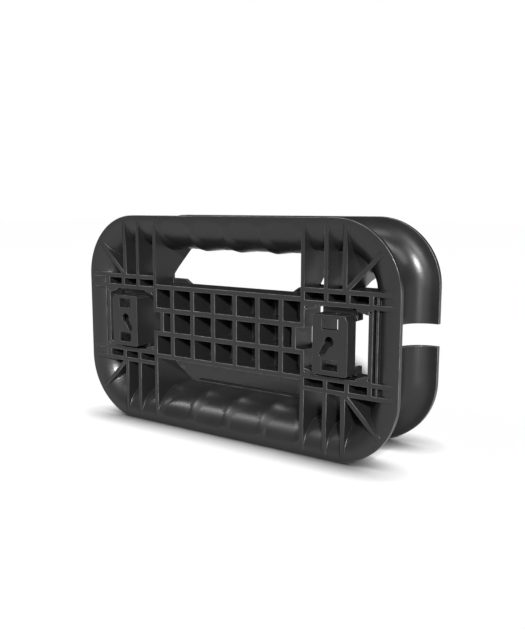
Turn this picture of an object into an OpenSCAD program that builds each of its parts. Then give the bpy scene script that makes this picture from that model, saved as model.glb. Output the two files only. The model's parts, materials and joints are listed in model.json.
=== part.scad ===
// Hand reel for a rope, lead or cable: a ribbed frame inside a rounded winding rim with two
// finger-grooved handles, a rear rim that closes the winding channel, and two clip-in hanging
// brackets with slanted keyholes.
// Millimetres. +X along the length, -Y to the front, +Z up. The origin is at the bottom centre.

/* [Overall] */
// Length over the winding rim
body_l = 220; // [184:1:264]
// Height over the winding rim
body_h = 130; // [118:1:156]
// Depth from the front lip to the rear lip
body_d = 54; // [46:1:66]
// Radius of the rim's outer corners
corner_r = 38.5; // [32:0.5:46]

/* [Winding rim] */
// Wall thickness of the rim
wall = 2.9; // [2.4:0.1:3.4]
// Radius of the channel between lip and floor
channel_r = 13.2; // [11:0.1:14]
// Straight part of each lip above the channel radius
lip_straight = 2.6; // [1.8:0.1:4]
// Depth of the rear rim, from the seam to the rear lip
rear_rim_d = 19.7; // [18.5:0.1:22]
// Length of the lap joint between the frame and the rear rim
lap_l = 1.8; // [1:0.1:3]
// Width of the gap in the rear rim, where the rope's end is led out
rim_gap = 12.5; // [8:0.5:20]

/* [Handles] */
// Length of each finger-grooved grip
grip_l = 104; // [84:1:124]
// Distance between neighbouring finger ridges
ridge_pitch = 25.5; // [22:0.5:28]
// Radius of the grip's front round
grip_r = 20.85; // [18:0.05:22]
// How far the grip stands proud of the rim's inner face
grip_proud = 2.95; // [2.4:0.05:4]
// Width of the flat front face of each handle
grip_lip = 7.8; // [6:0.1:10]
// Depth of each finger groove
groove_depth = 1.5; // [0.8:0.1:2]

/* [Hub] */
// Half height of the ribbed hub
hub_half_h = 22.9; // [20:0.1:26]
// Depth of the hub and of the flat ribs
rib_depth = 17.6; // [14:0.1:20]
// Thickness of the hub's closed rear plate
hub_plate = 1.8; // [1.4:0.1:3]
// Thickness of the hub's webs
web_t = 3; // [2:0.1:3.6]
// Distance between the hub's column webs
column_pitch = 15.8; // [14:0.1:17]
// Distance between the hub's two row webs
row_pitch = 14.5; // [12:0.1:17]
// Height of the raised shoulders at the ends of the hub's rear plate
shoulder_h = 2.9; // [1:0.1:3]

/* [Ribs] */
// Thickness of the ribs
rib_t = 2.6; // [2:0.1:3.2]
// Gap between the two ribs of each horizontal pair
rib_pair_gap = 4.1; // [3:0.1:5]
// Half height of the bracket bays
bay_half_h = 18.8; // [17:0.1:19.5]
// Length of each bracket bay
bay_l = 37.9; // [32:0.1:39]

/* [Brackets] */
// Width of a hanging bracket
bracket_w = 20.8; // [17:0.1:24]
// Gap between a bracket and the ribs above and below it
bracket_gap = 2.9; // [2:0.1:4]
// How far a bracket stands out in front of the frame
bracket_out = 6; // [4:0.1:9]
// Depth of a bracket's side walls behind the front of the frame
bracket_side_d = 3.1; // [2:0.1:6]
// Depth of a bracket's legs behind the front of the frame
bracket_leg_d = 11.1; // [8:0.1:14]
// Wall thickness of a bracket
bracket_wall = 2; // [1.6:0.1:2.6]
// Radius of the keyhole's round entry
key_r = 2.8; // [2.2:0.1:3.4]
// Half width of the keyhole's slot
key_slot_r = 1.75; // [1.3:0.05:2.1]

/* [Screws] */
// Thread diameter of the rim screws
screw_d = 2.2; // [1.8:0.1:2.4]
// Length of the rim screws under the head
screw_l = 9.5; // [6:0.5:11]
// Head diameter of the rim screws
screw_head_d = 4; // [3.4:0.1:4.1]
// Head height of the rim screws
screw_head_h = 1.6; // [1.2:0.1:2]

/* [Hidden] */
screw_names = ["upper_left_rim_screw", "upper_right_rim_screw",
               "lower_left_rim_screw", "lower_right_rim_screw"];
$fn = 64;
eps = 0.01;
// Running clearance between a bracket and its guides
slide_fit = 0.3;
// Clearance in the lap joint and around the screws
close_fit = 0.1;

// Depths below the rim's outer outline
floor_depth = lip_straight + channel_r;
crest_depth = floor_depth + wall;
grip_crest = crest_depth + grip_proud;
// Where the rear rim begins, and where the rim's two rounds have their centres
seam_z = body_d - rear_rim_d;
front_arc_z = wall + channel_r;
rear_arc_z = body_d - wall - channel_r;
// Axis of the grip's front round: its depth below the outline and its distance from the front
grip_axis = grip_crest - grip_r;
grip_axis_z = sqrt(pow(grip_r, 2) - pow(grip_lip - grip_axis, 2));
groove_r = (pow(ridge_pitch / 2, 2) + pow(groove_depth, 2)) / (2 * groove_depth);
front_y = (bracket_out - body_d) / 2;

// Rib positions, measured from the centre of the frame
half_l = body_l / 2;
half_h = body_h / 2;
end_rib_x = grip_l / 2;
bay_x0 = end_rib_x + rib_t;
bay_x1 = bay_x0 + bay_l;
bracket_x = (bay_x0 + bay_x1) / 2;
upper_rib_y = bay_half_h + rib_t + rib_pair_gap;
rib_top_y = upper_rib_y + rib_t;
// Ribs stop this far inside the outline, in the thickness of the lip
rib_inset = 2.4;
// Centre distances of the two gusset ribs beyond the hub's end rib
gusset_1_x = end_rib_x + 15.5;
gusset_2_x = end_rib_x + 26.6;
// How far the rear edge of a diagonal rib rises at the rim's inner face
corner_rise = 4.4;
// Where a gusset's rear edge starts to rise towards the rim, and where it bends on the way
flare_y = rib_top_y + 0.3;
inner_bend = [flare_y + 4, rib_depth + 4];
outer_bend = [flare_y + 3.2, rib_depth + 11];
// Centres of the short webs between the ribs of a pair
pair_web_x = [end_rib_x + 15.7, end_rib_x + 28.6, bay_x1 + rib_t / 2];
web_half = web_t / 2;
// End of the hub's middle row, and the notch beyond it
notch_l = 5.4;
notch_half_h = 5.9;
notch_r = 1.5;
notch_x0 = bay_x0 - notch_l - eps;
// Raised shoulders of the hub's rear plate
shoulder_x0 = end_rib_x - 15;
shoulder_x1 = end_rib_x - 10.6;
// Corner webs of the bays and their small holes
corner_web_h = 2.8;
corner_web_l = 7;
corner_web_t = 3;
post_hole_r = 0.6;
post_hole_depth = 10;
post_hole_inset = 0.8;
// Shallow stiffening rib behind each end lip
lip_rib_x = bay_x1 + rib_t + 1.4;
lip_rib_t = 1.4;
lip_rib_z = 0.6;

// Bracket details: its body is centred a little below the middle of the bay
bracket_half_h = bay_half_h - bracket_gap;
bracket_half_w = bracket_w / 2;
bracket_drop = 0.6;
bracket_chamfer = [1.8, 3.1];
small_chamfer = 1;
window_half_w = 4.75;
window_h = 5.8;
upper_window_y = 7.6;
lower_window_y = -14;
leg_h = 3.6;
key_centre = [-0.45, 1.2];
key_slot_end = [-4.5, -5.3];
// Flanges of a bracket, which reach the ribs above and below it
flange_z0 = 5;
flange_step = [3.2, 1.2];
// Snap slot in a bracket's top and bottom
snap_half_w = 1.2;
snap_z = [-3.2, 3];
// Guide tongue of the bay and the groove for it in the flange
tongue_half_w = 0.9;
tongue_reach = 1.8;
tongue_inset = 1.3;

// Screws: one near each end of each grip, in a ledge that carries the grip on behind the seam
screw_x = [-(end_rib_x - 4.5), end_rib_x - 4.5];
screw_depth = floor_depth + screw_head_d / 2 + 1.1;
screw_seat = 2;
ledge_d = 6.5;
ledge_slope = 2;

// Turns the design frame (x right, y up, z into the object) into the part's own frame
module placed() {
    translate([0, front_y, half_h])
        multmatrix([[1, 0, 0, 0], [0, 0, 1, 0], [0, 1, 0, 0], [0, 0, 0, 1]])
            children();
}

// Copies its children to both ends
module both_ends() {
    children();
    mirror([1, 0, 0]) children();
}

// Copies its children to the top and the bottom
module top_and_bottom() {
    children();
    mirror([0, 1, 0]) children();
}

module all_four() {
    both_ends() top_and_bottom() children();
}

// ---- Winding rim ----

// Outline that both faces of the rim share: x is depth below the outer outline, y is distance
// from the front; grow is added to the channel's size
module rim_outline(grow, above) {
    translate([-above, wall - grow])
        square([lip_straight + above, body_d - 2 * (wall - grow)]);
    translate([-above, front_arc_z])
        square([floor_depth + grow + above, rear_arc_z - front_arc_z]);
    intersection() {
        union() {
            for (z = [front_arc_z, rear_arc_z])
                translate([lip_straight, z])
                    circle(r = channel_r + grow);
        }
        translate([0, wall - grow])
            square([crest_depth + grow, body_d - 2 * (wall - grow)]);
    }
}

// Section of the winding channel itself
module channel_section() {
    rim_outline(0, 2);
}

// Section of the whole rim wall
module rim_section() {
    difference() {
        rim_outline(wall, 0);
        channel_section();
    }
}

// The channel with the rebate that the tongue of the rear rim lies in
module rebated_channel_section() {
    channel_section();
    translate([floor_depth - 1, seam_z - lap_l])
        square([wall / 2 + 1, body_d - seam_z]);
}

// Part of the rim wall in front of the seam
module front_section() {
    difference() {
        rim_section();
        translate([0, seam_z])
            square([grip_crest + wall, body_d]);
        rebated_channel_section();
    }
}

// Part of the section behind the seam, with the tongue of the lap joint
module rear_section() {
    difference() {
        rim_section();
        square([floor_depth - wall, seam_z]);
        translate([0, -eps])
            square([floor_depth + wall / 2 - close_fit + eps, seam_z - lap_l + eps]);
        translate([floor_depth + wall / 2 - close_fit, -eps])
            square([wall, seam_z + eps]);
    }
}

// Carries a section around one corner
module rim_corner() {
    translate([half_l - corner_r, half_h - corner_r, 0])
        rotate_extrude(angle = 90)
            translate([corner_r, 0])
                mirror([1, 0])
                    children();
}

// Carries a section along the top of the rim
module rim_top() {
    translate([corner_r - half_l, half_h, 0])
        rotate([90, 0, 90])
            linear_extrude(body_l - 2 * corner_r)
                mirror([1, 0])
                    children();
}

// Carries a section along the right-hand end of the rim, between two heights
module rim_end(y0, y1) {
    translate([half_l, y1, 0])
        rotate([90, 0, 0])
            linear_extrude(y1 - y0)
                mirror([1, 0])
                    children();
}

// Carries a section all the way round
module rim_loop() {
    all_four() rim_corner() children();
    top_and_bottom() rim_top() children();
    both_ends() rim_end(corner_r - half_h, half_h - corner_r) children();
}

// ---- Handles ----

// Outline of a grip: x runs along the handle, y is the distance from the axis of its round
module grip_outline() {
    difference() {
        translate([-end_rib_x, 0])
            square([2 * end_rib_x, grip_r]);
        for (i = [-2 : 1])
            translate([(i + 0.5) * ridge_pitch, grip_r - groove_depth + groove_r])
                circle(r = groove_r, $fn = 128);
    }
}

// Upper grip: a quarter turn of the outline at the front, then straight back to the seam
module grip() {
    intersection() {
        translate([0, half_h - grip_axis, grip_axis_z]) {
            rotate([0, 90, 0])
                rotate([0, 0, -90])
                    rotate_extrude(angle = 90)
                        mirror([1, -1])
                            grip_outline();
            linear_extrude(seam_z - grip_axis_z)
                mirror([0, 1])
                    grip_outline();
        }
        translate([-half_l, 0, 0])
            cube([body_l, half_h - rib_inset, seam_z]);
    }
}

// ---- Hub and ribs ----

// Box given by its two corners
module span(a, b) {
    translate(a) cube(b - a);
}

// One quarter of the hub: its walls, its webs and its rear plate
module hub_quarter() {
    span([0, hub_half_h - web_t + 0.2, 0], [bay_x0, hub_half_h, rib_depth]);
    span([end_rib_x, 0, 0], [bay_x0, hub_half_h, rib_depth]);
    span([0, 0, rib_depth - hub_plate], [bay_x0, hub_half_h, rib_depth]);
    for (i = [0 : 2])
        translate([(i + 0.5) * column_pitch - web_half, 0, 0])
            cube([web_t, hub_half_h, rib_depth]);
    span([0, row_pitch / 2 - web_half, 0], [bay_x0, row_pitch / 2 + web_half, rib_depth]);
    span([notch_x0 - rib_t, 0, 0], [notch_x0, row_pitch / 2, rib_depth]);
    translate([0, 0, rib_depth - hub_plate])
        linear_extrude(hub_plate)
            polygon([[shoulder_x0, hub_half_h - 1], [shoulder_x0, hub_half_h],
                     [shoulder_x1, hub_half_h + shoulder_h], [bay_x0, hub_half_h + shoulder_h],
                     [bay_x0, hub_half_h - 1]]);
}

// Opening from the front to the back between the hub's middle row and the bay
module hub_notch() {
    translate([notch_x0, -notch_half_h, -1])
        linear_extrude(rib_depth + 2) {
            translate([notch_r, 0]) square([notch_l + 1, 2 * notch_half_h]);
            translate([0, notch_r]) square([notch_l, 2 * (notch_half_h - notch_r)]);
            for (y = [notch_r, 2 * notch_half_h - notch_r])
                translate([notch_r, y]) circle(r = notch_r, $fn = 24);
        }
}

// Upright rib at x. Its rear edge rises from the ribs, by way of the bend, to the rim's inner face
module gusset(x, y0, bend) {
    translate([x - rib_t / 2, 0, 0])
        rotate([90, 0, 90])
            linear_extrude(rib_t)
                polygon([[y0, 0], [half_h - rib_inset, 0], [half_h - rib_inset, seam_z],
                         [half_h - grip_crest, seam_z], bend, [flare_y, rib_depth],
                         [y0, rib_depth]]);
}

// Diagonal rib from the foot of the outer gusset into the corner of the rim
module corner_rib() {
    start = [gusset_2_x, rib_top_y - rib_t / 2];
    // Where a line at 45 degrees from the start meets the lip's inner edge
    offset_x = start[0] - (half_l - corner_r);
    offset_y = start[1] - (half_h - corner_r);
    middle = (offset_x + offset_y) / 2;
    half_chord = sqrt(pow(corner_r - rib_inset, 2) - pow(offset_x - offset_y, 2) / 2);
    run = half_chord - middle * sqrt(2);
    translate([start[0], start[1], 0])
        rotate([0, 0, 45])
            translate([0, rib_t / 2, 0])
                rotate([90, 0, 0])
                    linear_extrude(rib_t)
                        polygon([[0, 0], [run, 0], [run, rib_depth + corner_rise],
                                 [run - crest_depth + rib_inset, rib_depth + corner_rise],
                                 [run / 4, rib_depth], [0, rib_depth]]);
}

// One quarter of the frame's ribs outside the hub
module rib_quarter() {
    rib_end_x = half_l - rib_inset;
    for (y = [bay_half_h, upper_rib_y])
        span([end_rib_x, y, 0], [rib_end_x, y + rib_t, rib_depth]);
    for (x = pair_web_x)
        span([x - rib_t / 2, bay_half_h + eps, 0], [x + rib_t / 2, upper_rib_y + eps, rib_depth]);
    span([end_rib_x + eps, bay_half_h + eps, rib_depth - hub_plate],
         [bay_x1 + eps, upper_rib_y + eps, rib_depth]);
    gusset(end_rib_x + rib_t / 2, hub_half_h - 1, inner_bend);
    gusset(gusset_1_x, upper_rib_y + eps, inner_bend);
    gusset(gusset_2_x, upper_rib_y + eps, outer_bend);
    corner_rib();
    span([bay_x1, 0, 0], [bay_x1 + rib_t, upper_rib_y + eps, rib_depth]);
    span([lip_rib_x, 0, lip_rib_z], [lip_rib_x + lip_rib_t, upper_rib_y + eps, rib_depth]);
    bay_corner(bay_x0, 1);
    bay_corner(bay_x1, -1);
    guide();
}

// Flat web with a small post behind it, in a corner of a bay; side is 1 or -1
module bay_corner(x, side) {
    linear_extrude(corner_web_t)
        polygon([[x - side * eps, bay_half_h + eps], [x - side * eps, bay_half_h - corner_web_h],
                 [x + side * corner_web_h / 2, bay_half_h - corner_web_h],
                 [x + side * corner_web_l, bay_half_h - corner_web_h / 3],
                 [x + side * corner_web_l, bay_half_h + eps]]);
    span([min(x - side * eps, x + side * corner_web_h / 2), bay_half_h - corner_web_h, 0],
         [max(x - side * eps, x + side * corner_web_h / 2), bay_half_h + eps, rib_depth]);
}

// Tongue in the groove of a bracket's flange, which guides it in and out
module guide() {
    span([bracket_x - tongue_half_w, bay_half_h - slide_fit - tongue_reach, flange_z0 + tongue_inset],
         [bracket_x + tongue_half_w, bay_half_h + eps, rib_depth]);
}

module post_holes() {
    for (x = [bay_x0 + post_hole_inset, bay_x1 + post_hole_inset])
        translate([x, bay_half_h - corner_web_h / 2, -1])
            cylinder(r = post_hole_r, h = post_hole_depth + 1, $fn = 24);
}

module screw_holes() {
    for (x = screw_x)
        translate([x, half_h - screw_depth, seam_z - screw_l])
            cylinder(d = screw_d + 2 * close_fit, h = screw_l + 1, $fn = 24);
}
module front_frame() {
    color("#2b2c2e") placed() difference() {
        union() {
            rim_loop() front_section();
            difference() {
                union() {
                    top_and_bottom() grip();
                    all_four() hub_quarter();
                    all_four() rib_quarter();
                }
                rim_loop() rebated_channel_section();
            }
        }
        both_ends() hub_notch();
        all_four() post_holes();
        top_and_bottom() screw_holes();
    }
}

// ---- Rear rim ----

// Ledge on the inner face of the rear rim, which carries the grip on and takes the screws
module screw_ledge() {
    crest_y = half_h - grip_crest;
    root_y = crest_y + grip_proud + wall / 2;
    translate([0, 0, seam_z])
        linear_extrude(ledge_d)
            polygon([[-grip_l / 2, root_y], [ledge_slope - grip_l / 2, crest_y],
                     [grip_l / 2 - ledge_slope, crest_y], [grip_l / 2, root_y]]);
}

module ledge_holes() {
    for (x = screw_x)
        translate([x, half_h - screw_depth, seam_z]) {
            translate([0, 0, -1])
                cylinder(d = screw_d + 2 * close_fit, h = body_d, $fn = 24);
            translate([0, 0, screw_seat])
                cylinder(d = screw_head_d + 4 * close_fit, h = body_d, $fn = 32);
        }
}

module rear_rim() {
    color("#2b2c2e") placed() difference() {
        union() {
            rim_loop() rear_section();
            top_and_bottom() screw_ledge();
        }
        top_and_bottom() ledge_holes();
        // The gap at the right-hand end
        span([half_l - grip_crest, -rim_gap / 2, 0], [half_l + 1, rim_gap / 2, body_d + 1]);
    }
}

// ---- Brackets ----

// Face of a bracket, with one large chamfer at its upper outer corner
module bracket_face() {
    w = bracket_half_w;
    h = bracket_half_h;
    c = small_chamfer;
    translate([0, -bracket_drop])
        polygon([[-w + c, -h], [w - c, -h], [w, -h + c], [w, h - bracket_chamfer[1]],
                 [w - bracket_chamfer[0], h], [-w + c, h], [-w, h - c], [-w, -h + c]]);
}

// Flanges at the top and bottom of a bracket, each stepped at its outer end
module bracket_flanges() {
    w = bracket_half_w;
    reach = bay_half_h - slide_fit;
    translate([0, 0, flange_z0])
        linear_extrude(bracket_leg_d - flange_z0)
            polygon([[-w, -reach], [w - flange_step[0], -reach], [w - flange_step[0], flange_step[1] - reach],
                     [w, flange_step[1] - reach], [w, reach - flange_step[1]],
                     [w - flange_step[0], reach - flange_step[1]], [w - flange_step[0], reach], [-w, reach]]);
}

// Slanted keyhole: a round entry and a narrow slot that runs down towards the hub
module keyhole() {
    run = key_slot_end - key_centre;
    // A little narrower than the round end, so that the two cross
    slot_half = key_slot_r - 0.04;
    translate([key_centre[0], key_centre[1], -bracket_out - 1])
        cylinder(r = key_r, h = bracket_wall + 2);
    translate([key_slot_end[0], key_slot_end[1], -bracket_out - 1])
        cylinder(r = key_slot_r, h = bracket_wall + 2, $fn = 32);
    translate([key_centre[0], key_centre[1], -bracket_out - 1])
        rotate([0, 0, atan2(run[1], run[0])])
            translate([0, -slot_half, 0])
                cube([norm(run), 2 * slot_half, bracket_wall + 2]);
}

// Bracket for the right-hand bay, centred on x = 0. Its wall beside the hub is as deep as the
// ribs, and its outer wall is short
module bracket_body() {
    w = bracket_half_w;
    top = bracket_half_h - bracket_drop;
    low = -bracket_half_h - bracket_drop;
    inner_w = w - bracket_wall;
    back = rib_depth + 1;
    floor_z = bracket_wall - bracket_out;
    difference() {
        union() {
            translate([0, 0, -bracket_out])
                linear_extrude(bracket_out + bracket_leg_d)
                    bracket_face();
            bracket_flanges();
            span([-w, low + leg_h, 0], [bracket_wall - w, top - leg_h, rib_depth]);
        }
        // Hollow inside the body and between the legs behind the short outer wall
        span([-inner_w, low + bracket_wall, floor_z], [inner_w, lower_window_y + window_h + 1, back]);
        span([-inner_w, lower_window_y + window_h, floor_z],
             [inner_w, upper_window_y, bracket_side_d - bracket_wall]);
        span([-inner_w, upper_window_y - 1, floor_z], [inner_w, top - bracket_wall, back]);
        span([-inner_w, low + leg_h, bracket_side_d], [w + 1, top - leg_h, back]);
        for (y = [lower_window_y, upper_window_y])
            translate([-window_half_w, y, -bracket_out - 1])
                cube([2 * window_half_w, window_h, bracket_wall + 2]);
        keyhole();
        for (y = [low - 1, top - bracket_wall - 1])
            span([-snap_half_w, y, snap_z[0]], [snap_half_w, y + bracket_wall + 2, snap_z[1]]);
        // Grooves for the guide tongues, open to the back
        top_and_bottom()
            span([-tongue_half_w - slide_fit, bay_half_h - 2 * slide_fit - tongue_reach,
                  flange_z0 + tongue_inset - slide_fit],
                 [tongue_half_w + slide_fit, bay_half_h + 1, back]);
    }
}

module right_bracket() {
    color("#2b2c2e") placed() translate([bracket_x, 0, 0]) bracket_body();
}

module left_bracket() {
    color("#2b2c2e") placed() mirror([1, 0, 0]) translate([bracket_x, 0, 0]) bracket_body();
}

// ---- Screws ----

// Pan-head self-tapping screw with a cross slot, driven in from behind
module rim_screw(i) {
    side = i < 2 ? 1 : -1;
    slot_w = 0.7;
    slot_l = 2.4;
    slot_depth = 0.9;
    color("#8d8f92") placed()
        translate([screw_x[i % 2], side * (half_h - screw_depth), seam_z + screw_seat])
            difference() {
                union() {
                    translate([0, 0, -screw_l]) cylinder(d = screw_d, h = screw_l + eps, $fn = 24);
                    cylinder(d = screw_head_d, h = screw_head_h, $fn = 32);
                }
                for (turn = [0, 90])
                    rotate([0, 0, turn])
                        translate([-slot_l / 2, -slot_w / 2, screw_head_h - slot_depth])
                            cube([slot_l, slot_w, slot_depth + 1]);
            }
}

front_frame();
rear_rim();
left_bracket();
right_bracket();
for (i = [0 : 3])
    rim_screw(i);
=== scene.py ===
# %% [markdown]
# # A moulded hand reel
# The reel is a ribbed frame inside a winding rim, with a rear rim behind it and two clip-in
# brackets. The CAD model gives every shape its size and place. This lesson gives the shapes the
# soft edges and the finish that a moulding has, and adds the small marks of the mould.

import json
import math

import bmesh
import bpy
import numpy as np
from mathutils import Matrix, Vector

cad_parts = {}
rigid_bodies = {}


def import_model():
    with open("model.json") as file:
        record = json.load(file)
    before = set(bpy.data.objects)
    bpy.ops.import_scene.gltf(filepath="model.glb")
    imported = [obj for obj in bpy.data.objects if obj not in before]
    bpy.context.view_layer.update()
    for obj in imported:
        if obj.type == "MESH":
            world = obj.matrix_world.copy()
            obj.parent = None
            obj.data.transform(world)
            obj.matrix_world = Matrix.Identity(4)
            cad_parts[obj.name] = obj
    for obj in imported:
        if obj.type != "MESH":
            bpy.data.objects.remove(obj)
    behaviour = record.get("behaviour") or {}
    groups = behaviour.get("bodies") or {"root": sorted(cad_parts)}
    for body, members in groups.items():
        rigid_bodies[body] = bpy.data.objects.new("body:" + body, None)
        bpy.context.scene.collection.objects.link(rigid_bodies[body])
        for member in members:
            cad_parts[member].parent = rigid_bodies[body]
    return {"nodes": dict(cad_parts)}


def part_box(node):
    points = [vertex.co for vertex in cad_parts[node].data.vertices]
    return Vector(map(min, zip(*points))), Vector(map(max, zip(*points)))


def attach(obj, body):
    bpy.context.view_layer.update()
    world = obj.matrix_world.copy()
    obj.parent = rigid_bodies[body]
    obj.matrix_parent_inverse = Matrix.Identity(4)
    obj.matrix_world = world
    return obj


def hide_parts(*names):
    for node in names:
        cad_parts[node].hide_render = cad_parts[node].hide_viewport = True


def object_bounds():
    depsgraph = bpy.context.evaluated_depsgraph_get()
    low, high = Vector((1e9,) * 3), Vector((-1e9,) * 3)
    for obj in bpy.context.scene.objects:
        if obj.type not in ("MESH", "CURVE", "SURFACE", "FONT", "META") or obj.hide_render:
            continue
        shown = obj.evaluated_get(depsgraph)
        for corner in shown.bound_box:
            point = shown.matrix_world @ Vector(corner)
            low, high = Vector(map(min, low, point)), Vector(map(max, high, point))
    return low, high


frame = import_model()
MM = 0.001
cad_low, cad_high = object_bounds()
print("CAD box", [round(v, 4) for v in cad_low], [round(v, 4) for v in cad_high])

# %% [markdown]
# ## The camera
# The camera stands to the right of the reel, a little above its top edge, and looks slightly
# down. Three angles turn it. They are written out as a forward, a right and an up direction,
# because a rotation built from directions can be read and checked.

# %% Place the camera
CAMERA_PLACE = Vector((0.25467, -0.35303, 0.13473))
CAMERA_YAW = math.radians(34.63)
CAMERA_DIP = math.radians(8.39)
CAMERA_ROLL = math.radians(0.099)
SENSOR_MM = 36.0
LENS_MM = 41.554


def look_matrix(place, yaw, dip, roll):
    """World matrix of a camera: yaw turns +Y towards -X, dip tilts the view down."""
    forward = Vector((-math.sin(yaw) * math.cos(dip), math.cos(yaw) * math.cos(dip), -math.sin(dip)))
    right = Vector((math.cos(yaw), math.sin(yaw), 0.0))
    up = right.cross(forward)
    turn = Matrix((right, up, -forward)).transposed() @ Matrix.Rotation(roll, 3, "Z")
    return Matrix.Translation(place) @ turn.to_4x4()


camera_data = bpy.data.cameras.new("camera")
camera_data.sensor_fit = "VERTICAL"
camera_data.sensor_height = SENSOR_MM
camera_data.lens = LENS_MM
camera_data.clip_start = 0.01
camera = bpy.data.objects.new("camera", camera_data)
bpy.context.scene.collection.objects.link(camera)
camera.matrix_world = look_matrix(CAMERA_PLACE, CAMERA_YAW, CAMERA_DIP, CAMERA_ROLL)
bpy.context.scene.camera = camera
print("camera", tuple(round(v, 3) for v in CAMERA_PLACE))

# %% [markdown]
# ## Shader helpers
# Every finish below is a small network of nodes. Two helpers keep the networks short: one adds
# a node with its settings, and one starts a node group with named sockets. A group puts out only
# values that change over the surface, and the shader stays in the material.


# %% Helpers for nodes and groups
def add_node(tree, kind, inputs=None, **settings):
    """Adds a node of the given kind, sets its attributes and the values of its inputs."""
    node = tree.nodes.new(kind)
    for key, value in settings.items():
        setattr(node, key, value)
    for key, value in (inputs or {}).items():
        node.inputs[key].default_value = value
    return node


def new_group(name, inputs, outputs):
    """A shader node group: inputs are (name, socket type, value), outputs (name, socket type)."""
    tree = bpy.data.node_groups.new(name, "ShaderNodeTree")
    for label, kind, value in inputs:
        socket = tree.interface.new_socket(name=label, in_out="INPUT", socket_type=kind)
        socket.default_value = value
    for label, kind in outputs:
        tree.interface.new_socket(name=label, in_out="OUTPUT", socket_type=kind)
    return tree, tree.nodes.new("NodeGroupInput"), tree.nodes.new("NodeGroupOutput")


FLOAT = "NodeSocketFloat"
print("helpers", add_node.__name__, new_group.__name__)

# %% [markdown]
# ## Mould grain
# The tool for a plastic moulding is spark-eroded or blasted, and its fine pits come out on the
# plastic as a soft grain. Two sizes of noise are mixed: pits a third of a millimetre across and
# the long, shallow waviness of plastic that shrank over its ribs.


# %% Group for the mould grain
def build_grain_group():
    """Height = pits * Pit Height + waviness * Wave Height; Mask is the waviness from 0 to 1."""
    tree, enter, leave = new_group(
        "mould_grain",
        [("Pit Scale", FLOAT, 3000.0), ("Pit Height", FLOAT, 0.3), ("Wave Scale", FLOAT, 70.0),
         ("Wave Height", FLOAT, 0.7)],
        [("Height", FLOAT), ("Mask", FLOAT)])
    place = add_node(tree, "ShaderNodeTexCoord")
    pits = add_node(tree, "ShaderNodeTexNoise", {"Detail": 3.0, "Roughness": 0.6})
    waves = add_node(tree, "ShaderNodeTexNoise", {"Detail": 2.0, "Roughness": 0.45})
    pit_height = add_node(tree, "ShaderNodeMath", operation="MULTIPLY")
    height = add_node(tree, "ShaderNodeMath", operation="MULTIPLY_ADD")
    for texture, label in ((pits, "Pit Scale"), (waves, "Wave Scale")):
        tree.links.new(place.outputs["Object"], texture.inputs["Vector"])
        tree.links.new(enter.outputs[label], texture.inputs["Scale"])
    tree.links.new(pits.outputs["Fac"], pit_height.inputs[0])
    tree.links.new(enter.outputs["Pit Height"], pit_height.inputs[1])
    tree.links.new(waves.outputs["Fac"], height.inputs[0])
    tree.links.new(enter.outputs["Wave Height"], height.inputs[1])
    tree.links.new(pit_height.outputs[0], height.inputs[2])
    tree.links.new(height.outputs[0], leave.inputs["Height"])
    tree.links.new(waves.outputs["Fac"], leave.inputs["Mask"])
    return tree


grain_group = build_grain_group()
print("group", grain_group.name)

# %% [markdown]
# ## Rubbed edges with a painted highlight
# Outward corners of a plastic reel are rubbed shinier, and their colour is made paler there,
# partly as wear and partly as a painted highlight for the light that the small radii catch.
# Blender's Bevel node can find corners in a shader, but the export can't bake it. So the mesh
# carries the answer: the attribute named edge is 1 on the rounded outward edges and 0 elsewhere.
# The group breaks it up with noise.


# %% Group for wear and a painted highlight along the edges
def build_rub_and_sheen_group():
    """Mask = Edge * noise stretched to 0.25..1 * Amount."""
    tree, enter, leave = new_group(
        "edge_rub_and_sheen",
        [("Edge", FLOAT, 0.0), ("Amount", FLOAT, 0.5), ("Patch Scale", FLOAT, 160.0)],
        [("Mask", FLOAT)])
    place = add_node(tree, "ShaderNodeTexCoord")
    patches = add_node(tree, "ShaderNodeTexNoise", {"Detail": 4.0, "Roughness": 0.65})
    soften = add_node(tree, "ShaderNodeMapRange",
                      {"From Min": 0.38, "From Max": 0.62, "To Min": 0.25, "To Max": 1.0})
    worn = add_node(tree, "ShaderNodeMath", operation="MULTIPLY")
    amount = add_node(tree, "ShaderNodeMath", operation="MULTIPLY", use_clamp=True)
    tree.links.new(place.outputs["Object"], patches.inputs["Vector"])
    tree.links.new(enter.outputs["Patch Scale"], patches.inputs["Scale"])
    tree.links.new(patches.outputs["Fac"], soften.inputs["Value"])
    tree.links.new(soften.outputs["Result"], worn.inputs[0])
    tree.links.new(enter.outputs["Edge"], worn.inputs[1])
    tree.links.new(worn.outputs[0], amount.inputs[0])
    tree.links.new(enter.outputs["Amount"], amount.inputs[1])
    tree.links.new(amount.outputs[0], leave.inputs["Mask"])
    return tree


rub_and_sheen_group = build_rub_and_sheen_group()
print("group", rub_and_sheen_group.name)

# %% [markdown]
# ## The plastics
# Frame and brackets are the same kind of satin black plastic from different tools. The colour is
# nearly black and goes paler along the outward edges, partly as wear and partly as a painted
# highlight. The waviness shifts the roughness a little, and the grain reaches the shader as a bump.


# %% Satin black moulded plastic
SPECULAR_LEVEL = 0.3
RUB_AND_SHEEN_AMOUNT = 0.5
RUB_POLISH = -0.16
GRAIN_STRENGTH = 0.12
GRAIN_DISTANCE = 0.05 * MM


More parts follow.
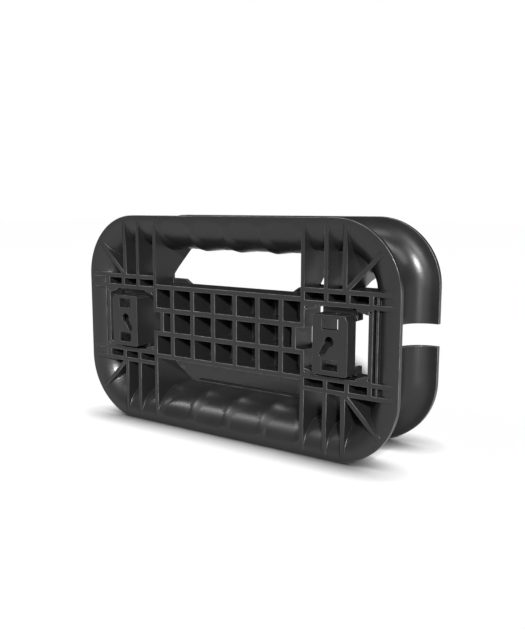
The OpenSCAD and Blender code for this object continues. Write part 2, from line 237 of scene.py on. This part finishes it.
def moulded_plastic(name, dark, rub_and_sheen_colour, roughness, pit_scale):
    """Colour = dark to the paler edge colour by the mask of wear and painted edge highlight; roughness = base +
    waves + RUB_POLISH * mask.
    """
    material = bpy.data.materials.new(name)
    material.use_nodes = True
    tree = material.node_tree
    shader = tree.nodes["Principled BSDF"]
    shader.inputs["Specular IOR Level"].default_value = SPECULAR_LEVEL
    shader.inputs["IOR"].default_value = 1.5
    grain = add_node(tree, "ShaderNodeGroup", node_tree=grain_group)
    grain.inputs["Pit Scale"].default_value = pit_scale
    rub_sheen_mask = add_node(tree, "ShaderNodeGroup", node_tree=rub_and_sheen_group)
    rub_sheen_mask.inputs["Amount"].default_value = RUB_AND_SHEEN_AMOUNT
    edge = add_node(tree, "ShaderNodeAttribute", attribute_name="edge")
    tint = add_node(tree, "ShaderNodeMix", data_type="RGBA")
    tint.inputs["A"].default_value = (*dark, 1.0)
    tint.inputs["B"].default_value = (*rub_and_sheen_colour, 1.0)
    gloss = add_node(tree, "ShaderNodeMapRange", {"From Min": 0.3, "From Max": 0.7,
                     "To Min": roughness - 0.03, "To Max": roughness + 0.04})
    polish = add_node(tree, "ShaderNodeMath", {1: RUB_POLISH}, operation="MULTIPLY_ADD")
    bump = add_node(tree, "ShaderNodeBump", {"Strength": GRAIN_STRENGTH, "Distance": GRAIN_DISTANCE})
    tree.links.new(edge.outputs["Fac"], rub_sheen_mask.inputs["Edge"])
    tree.links.new(rub_sheen_mask.outputs["Mask"], tint.inputs["Factor"])
    tree.links.new(tint.outputs["Result"], shader.inputs["Base Color"])
    tree.links.new(grain.outputs["Mask"], gloss.inputs["Value"])
    tree.links.new(rub_sheen_mask.outputs["Mask"], polish.inputs[0])
    tree.links.new(gloss.outputs["Result"], polish.inputs[2])
    tree.links.new(polish.outputs[0], shader.inputs["Roughness"])
    tree.links.new(grain.outputs["Height"], bump.inputs["Height"])
    tree.links.new(bump.outputs["Normal"], shader.inputs["Normal"])
    return material


# The paler edge colours are partly wear and partly a painted highlight on the rounded edges.
REEL_BLACK = (0.0085, 0.0085, 0.009)
REEL_RUB_AND_SHEEN = (0.10, 0.10, 0.102)
CLIP_BLACK = (0.0075, 0.0075, 0.008)
CLIP_RUB_AND_SHEEN = (0.07, 0.07, 0.071)
frame_plastic = moulded_plastic("satin_black_reel", REEL_BLACK, REEL_RUB_AND_SHEEN, roughness=0.33, pit_scale=3000.0)
bracket_plastic = moulded_plastic("satin_black_clip", CLIP_BLACK, CLIP_RUB_AND_SHEEN, roughness=0.38, pit_scale=2600.0)
print("materials", frame_plastic.name, bracket_plastic.name)

# %% [markdown]
# ## Zinc-plated steel
# The rim screws are small pan-head screws. Plated steel is a metal with a clear, slightly cold
# colour, and fine turning marks run round its head.


# %% Zinc-plated steel
def zinc_steel():
    """Metal whose roughness and bump follow stretched noise, like turning marks round the head."""
    material = bpy.data.materials.new("zinc_plated_steel")
    material.use_nodes = True
    tree = material.node_tree
    shader = tree.nodes["Principled BSDF"]
    shader.inputs["Metallic"].default_value = 1.0
    place = add_node(tree, "ShaderNodeTexCoord")
    stretch = add_node(tree, "ShaderNodeMapping", {"Scale": (900.0, 4000.0, 900.0)})
    marks = add_node(tree, "ShaderNodeTexNoise", {"Scale": 1.0, "Detail": 2.0})
    shade = add_node(tree, "ShaderNodeMix", data_type="RGBA")
    shade.inputs["A"].default_value = (0.50, 0.51, 0.53, 1.0)
    shade.inputs["B"].default_value = (0.64, 0.64, 0.65, 1.0)
    gloss = add_node(tree, "ShaderNodeMapRange", {"To Min": 0.22, "To Max": 0.42})
    bump = add_node(tree, "ShaderNodeBump", {"Strength": 0.2, "Distance": 0.00003})
    tree.links.new(place.outputs["Object"], stretch.inputs["Vector"])
    tree.links.new(stretch.outputs["Vector"], marks.inputs["Vector"])
    tree.links.new(marks.outputs["Fac"], shade.inputs["Factor"])
    tree.links.new(shade.outputs["Result"], shader.inputs["Base Color"])
    tree.links.new(marks.outputs["Fac"], gloss.inputs["Value"])
    tree.links.new(gloss.outputs["Result"], shader.inputs["Roughness"])
    tree.links.new(marks.outputs["Fac"], bump.inputs["Height"])
    tree.links.new(bump.outputs["Normal"], shader.inputs["Normal"])
    return material


screw_steel = zinc_steel()
print("material", screw_steel.name)

# %% [markdown]
# ## Softened mouldings
# A CAD solid has knife edges. Molten plastic can't fill one, so every rib of a real moulding has
# a small radius, and this radius catches the light. The CAD mesh stays as it is: a copy is merged
# into a closed surface and a narrow Bevel rounds its edges. Clamp Overlap is off, because it
# would narrow every bevel to suit the shortest edge. Many-sided faces are cut into triangles
# first and Loop Slide is off, because otherwise a long face can fold across a hole.


# %% Copy a CAD node and round its edges
MERGE_DISTANCE = 0.002 * MM
FLAT_ANGLE = math.radians(0.4)
SHARP_ANGLE = math.radians(32)
EDGE_SEGMENTS = 3
ROUNDED_SLOT = 1


def softened_copy(node, radius, material, body):
    """Copy of a CAD node: doubles merged, flat faces dissolved, sharp edges bevelled by radius.

    The material sits in two slots, so that the bevel's own faces can be told apart by their slot.
    """
    mesh = frame["nodes"][node].data.copy()
    mesh.name = node + "_moulding"
    shell = bmesh.new()
    shell.from_mesh(mesh)
    bmesh.ops.remove_doubles(shell, verts=shell.verts, dist=MERGE_DISTANCE)
    bmesh.ops.dissolve_limit(shell, angle_limit=FLAT_ANGLE, verts=shell.verts, edges=shell.edges)
    bmesh.ops.triangulate(shell, faces=[f for f in shell.faces if len(f.verts) > 4])
    shell.to_mesh(mesh)
    shell.free()
    mesh.materials.clear()
    mesh.materials.append(material)
    mesh.materials.append(material)
    mesh.shade_smooth()
    piece = bpy.data.objects.new(node + "_moulding", mesh)
    bpy.context.scene.collection.objects.link(piece)
    bevel = piece.modifiers.new("soft_edges", "BEVEL")
    bevel.width = radius
    bevel.segments = EDGE_SEGMENTS
    bevel.limit_method = "ANGLE"
    bevel.angle_limit = SHARP_ANGLE
    bevel.use_clamp_overlap = False
    bevel.loop_slide = False
    bevel.material = ROUNDED_SLOT
    even = piece.modifiers.new("even_normals", "WEIGHTED_NORMAL")
    even.keep_sharp = True
    bpy.context.view_layer.update()
    return bake_modifiers(piece, body, node)


def bake_modifiers(piece, body, node):
    graph = bpy.context.evaluated_depsgraph_get()
    finished = bpy.data.meshes.new_from_object(piece.evaluated_get(graph))
    piece.modifiers.clear()
    piece.data = finished
    mark_edges(finished)
    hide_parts(node)
    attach(piece, body)
    finished.calc_loop_triangles()
    print(piece.name, len(finished.loop_triangles), "triangles")
    return piece


def mark_edges(mesh):
    """Edge attribute = 1 at the corners of faces that the bevel made and that bulge, otherwise 0.

    A face bulges if its neighbours' centres lie behind its plane, summed over its edges.
    """
    faces = len(mesh.polygons)
    counts, slots = np.zeros(faces, np.int32), np.zeros(faces, np.int32)
    normals, centres = np.zeros((faces, 3), np.float32), np.zeros((faces, 3), np.float32)
    loop_edges = np.zeros(len(mesh.loops), np.int32)
    mesh.polygons.foreach_get("loop_total", counts)
    mesh.polygons.foreach_get("material_index", slots)
    mesh.polygons.foreach_get("normal", normals.ravel())
    mesh.polygons.foreach_get("center", centres.ravel())
    mesh.loops.foreach_get("edge_index", loop_edges)
    owner = np.repeat(np.arange(faces), counts)
    order = np.argsort(loop_edges, kind="stable")
    shared = np.flatnonzero(np.diff(loop_edges[order]) == 0)
    one, two = owner[order][shared], owner[order][shared + 1]
    step = centres[two] - centres[one]
    step /= np.maximum(np.linalg.norm(step, axis=1, keepdims=True), 1e-9)
    bulge = np.zeros(faces, np.float32)
    np.add.at(bulge, one, -(step * normals[one]).sum(1))
    np.add.at(bulge, two, (step * normals[two]).sum(1))
    value = ((slots == ROUNDED_SLOT) & (bulge > 0)).astype(np.float32)
    mesh.polygons.foreach_set("material_index", np.zeros(faces, np.int32))
    mesh.materials.pop(index=ROUNDED_SLOT)
    attribute = mesh.attributes.new("edge", "FLOAT", "CORNER")
    attribute.data.foreach_set("value", np.repeat(value, counts))
    print(mesh.name, int(value.sum()), "rounded faces of", faces)


# %% The frame and its rear rim
FRAME_EDGE = 0.3 * MM
softened_copy("front_frame", FRAME_EDGE, frame_plastic, "reel")
softened_copy("rear_rim", FRAME_EDGE, frame_plastic, "reel")

# %% The two brackets
BRACKET_EDGE = 0.15 * MM
softened_copy("left_bracket", BRACKET_EDGE, bracket_plastic, "left_hanger")
softened_copy("right_bracket", BRACKET_EDGE, bracket_plastic, "right_hanger")

# %% The rim screws
SCREW_EDGE = 0.12 * MM
screw_names = [name for name in frame["nodes"] if name.endswith("rim_screw")]
for name in screw_names:
    softened_copy(name, SCREW_EDGE, screw_steel, "reel")

# %% [markdown]
# ## Marks of the mould
# Pins push a moulding out of its tool and leave shallow round marks, and the plastic flows in
# through a gate, which leaves a small nub. They lie on the flat back of the hub. A round mark is
# a profile turned about an axis, so one function makes both: it takes radii and heights along
# the profile and computes the whole grid of points at once.


# %% A turned surface
def turned_surface(name, radii, heights, centres, material, steps=40):
    """Point = centre + radius * (cos a, 0, sin a) + height * Y for each angle a, closed at both ends."""
    radii, heights, centres = (np.asarray(v, float) for v in (radii, heights, centres))
    angle = np.linspace(0.0, 2 * np.pi, steps, endpoint=False)
    ring = np.stack([np.outer(radii, np.cos(angle)), np.repeat(heights[:, None], steps, 1),
                     np.outer(radii, np.sin(angle))], -1).reshape(-1, 3)
    poles = np.array([[0, heights[0], 0], [0, heights[-1], 0]], float)
    one = np.concatenate([ring, poles])
    row, col = np.meshgrid(np.arange(len(radii) - 1), np.arange(steps), indexing="ij")
    here, after = row * steps + col, row * steps + (col + 1) % steps
    walls = np.stack([here, after, after + steps, here + steps], -1).reshape(-1, 4)
    first, last = len(ring), len(ring) + 1
    start, end = np.arange(steps), np.arange(steps) + (len(radii) - 1) * steps
    caps = [np.stack([np.full(steps, first), np.roll(start, -1), start], -1),
            np.stack([np.full(steps, last), end, np.roll(end, -1)], -1)]
    points = (one[None] + centres[:, None]).reshape(-1, 3)
    shift = np.arange(len(centres)) * len(one)
    faces = []
    for block in (walls, *caps):
        faces += (block[None] + shift[:, None, None]).reshape(-1, block.shape[1]).tolist()
    mesh = bpy.data.meshes.new(name)
    mesh.from_pydata(points.tolist(), [], faces)
    shell = bmesh.new()
    shell.from_mesh(mesh)
    bmesh.ops.recalc_face_normals(shell, faces=shell.faces)
    shell.to_mesh(mesh)
    shell.free()
    mesh.shade_smooth()
    mesh.set_sharp_from_angle(angle=math.radians(40))
    mesh.materials.append(material)
    piece = bpy.data.objects.new(name, mesh)
    bpy.context.scene.collection.objects.link(piece)
    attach(piece, "reel")
    print(name, len(centres), "marks,", len(faces), "faces")
    return piece


# %% Where the marks lie
frame_low, frame_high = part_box("front_frame")
RIB_DEPTH = 17.6 * MM
hub_back = frame_low.y + RIB_DEPTH
hub_height = (frame_low.z + frame_high.z) / 2
PIN_PITCH = 31.6 * MM
PIN_RISE = 14.5 * MM
pin_centres = [(i * PIN_PITCH, hub_back, hub_height + side * PIN_RISE)
               for i in (-1, 0, 1) for side in (-1, 1)]
print("pins", len(pin_centres), "on the plane y =", round(hub_back, 4))

# %% Ejector marks and gate nub
SUNK = -0.3 * MM
pin_radii = np.array([1.75, 1.75, 1.6, 1.45, 1.35]) * MM
pin_heights = np.array([SUNK, 0.05 * MM, 0.12 * MM, 0.12 * MM, 0.03 * MM])
turned_surface("ejector_marks", pin_radii, pin_heights, pin_centres, frame_plastic)
gate_radii = np.array([1.6, 1.6, 1.35, 0.9, 0.4]) * MM
gate_heights = np.array([SUNK, 0.2 * MM, 0.45 * MM, 0.55 * MM, 0.5 * MM])
turned_surface("gate_nub", gate_radii, gate_heights, [(0.0, hub_back, hub_height)], frame_plastic)

# %% [markdown]
# ## Floor and light
# The reel stands on a plain white floor, which is darkened close to the reel as a stand-in for
# the contact shadow of a broad light overhead. A far light from the front right makes the long
# shadow behind the reel, and a weak one from the left lifts it a little. The other lights are
# boxes: each draws a highlight on some part of the plastic. Light linking keeps them off the
# floor, as flags would in a studio, so they make no shadows there.


# %% White floor
FLOOR_HALF = 6.0
CONTACT_REACH = 0.02
CONTACT_POWER = 3.5


def white_floor():
    """A flat square at the height of the reel's lips. Colour = dark to white by openness to a power, a painted
    contact shadow.
    """
    corners = [(x * FLOOR_HALF, y * FLOOR_HALF, 0.0) for x, y in ((-1, -1), (1, -1), (1, 1), (-1, 1))]
    mesh = bpy.data.meshes.new("floor")
    mesh.from_pydata(corners, [], [(0, 1, 2, 3)])
    material = bpy.data.materials.new("floor_white")
    material.use_nodes = True
    shader = material.node_tree.nodes["Principled BSDF"]
    tree = material.node_tree
    gap = add_node(tree, "ShaderNodeAmbientOcclusion", {"Distance": CONTACT_REACH}, samples=16)
    depth = add_node(tree, "ShaderNodeMath", {1: CONTACT_POWER}, operation="POWER")
    shade = add_node(tree, "ShaderNodeMix", data_type="RGBA")
    shade.inputs["A"].default_value = (0.02, 0.02, 0.02, 1.0)
    shade.inputs["B"].default_value = (0.95, 0.95, 0.95, 1.0)
    tree.links.new(gap.outputs["AO"], depth.inputs[0])
    tree.links.new(depth.outputs[0], shade.inputs["Factor"])
    tree.links.new(shade.outputs["Result"], shader.inputs["Base Color"])
    shader.inputs["Roughness"].default_value = 0.9
    shader.inputs["Specular IOR Level"].default_value = 0.1
    mesh.materials.append(material)
    floor = bpy.data.objects.new("floor", mesh)
    bpy.context.scene.collection.objects.link(floor)
    return floor


floor = white_floor()


# %% Studio lights
def soft_box(name, place, aim, width, height, power):
    """A rectangular area light at place, turned to face aim."""
    data = bpy.data.lights.new(name, "AREA")
    data.shape = "RECTANGLE"
    data.size = width
    data.size_y = height
    data.energy = power
    light = bpy.data.objects.new(name, data)
    bpy.context.scene.collection.objects.link(light)
    place = Vector(place)
    direction = Vector(aim) - place
    light.rotation_mode = "QUATERNION"
    light.rotation_quaternion = direction.to_track_quat("-Z", "Y")
    light.location = place
    return light


centre = (Vector(cad_low) + Vector(cad_high)) / 2


def studio_place(azimuth, elevation, distance):
    """Point at a distance from the reel's centre. Azimuth 0 is in front of it, 90 to its right."""
    turn, rise = math.radians(azimuth), math.radians(elevation)
    flat = math.cos(rise) * distance
    return centre + Vector((math.sin(turn) * flat, -math.cos(turn) * flat, math.sin(rise) * distance))


def sun_light(name, azimuth, elevation, strength, spread):
    """A far light of even strength; spread is how wide it looks from the reel, in degrees."""
    data = bpy.data.lights.new(name, "SUN")
    data.energy = strength
    data.angle = math.radians(spread)
    light = bpy.data.objects.new(name, data)
    bpy.context.scene.collection.objects.link(light)
    direction = centre - studio_place(azimuth, elevation, 1.0)
    light.rotation_mode = "QUATERNION"
    light.rotation_quaternion = direction.to_track_quat("-Z", "Y")
    return light


for name, azimuth, elevation, strength, spread in (
        ("key", 38, 24, 7.9, 5.0),
        ("left_fill", -40, 45, 0.12, 20.0)):
    sun_light(name, azimuth, elevation, strength, spread)

# %% Boxes that light only the reel
BOX_DISTANCE = 1.2
reel_only = bpy.data.collections.new("lit_by_boxes")
for thing in bpy.data.objects:
    if thing.type == "MESH" and thing != floor:
        reel_only.objects.link(thing)
for name, azimuth, elevation, width, height, power in (
        ("grip_box", -28, 53, 0.46, 0.46, 3.4),
        ("channel_box", 98, 56, 0.7, 0.7, 7.0),
        ("streak_box", 10, 20, 0.3, 0.3, 7.0),
        ("upper_edge_box", -64, 44, 0.22, 0.22, 5.0),
        ("side_edge_box", 56, -4, 0.3, 0.1, 6.0),
        ("back_box", 190, 70, 0.8, 0.8, 13.0)):
    box = soft_box(name, studio_place(azimuth, elevation, BOX_DISTANCE), centre, width, height, power)
    box.light_linking.receiver_collection = reel_only

# %% [markdown]
# ## Sky
# Looked at directly, the sky is white, and as a light it is very dim, so that the shadows stay
# deep. The Light Path node tells the two apart.

# %% Sky
SKY_LIGHT = 0.03
world = bpy.data.worlds.new("sky")
world.use_nodes = True
sky = world.node_tree
seen = add_node(sky, "ShaderNodeBackground", {"Color": (1.0, 1.0, 1.0, 1.0), "Strength": 1.0})
glow = sky.nodes["Background"]
glow.inputs["Color"].default_value = (1.0, 1.0, 1.0, 1.0)
glow.inputs["Strength"].default_value = SKY_LIGHT
ray = add_node(sky, "ShaderNodeLightPath")
choose = add_node(sky, "ShaderNodeMixShader")
sky.links.new(ray.outputs["Is Camera Ray"], choose.inputs["Fac"])
sky.links.new(glow.outputs[0], choose.inputs[1])
sky.links.new(seen.outputs[0], choose.inputs[2])
sky.links.new(choose.outputs[0], sky.nodes["World Output"].inputs["Surface"])
bpy.context.scene.world = world
bpy.context.scene.view_settings.view_transform = "Standard"
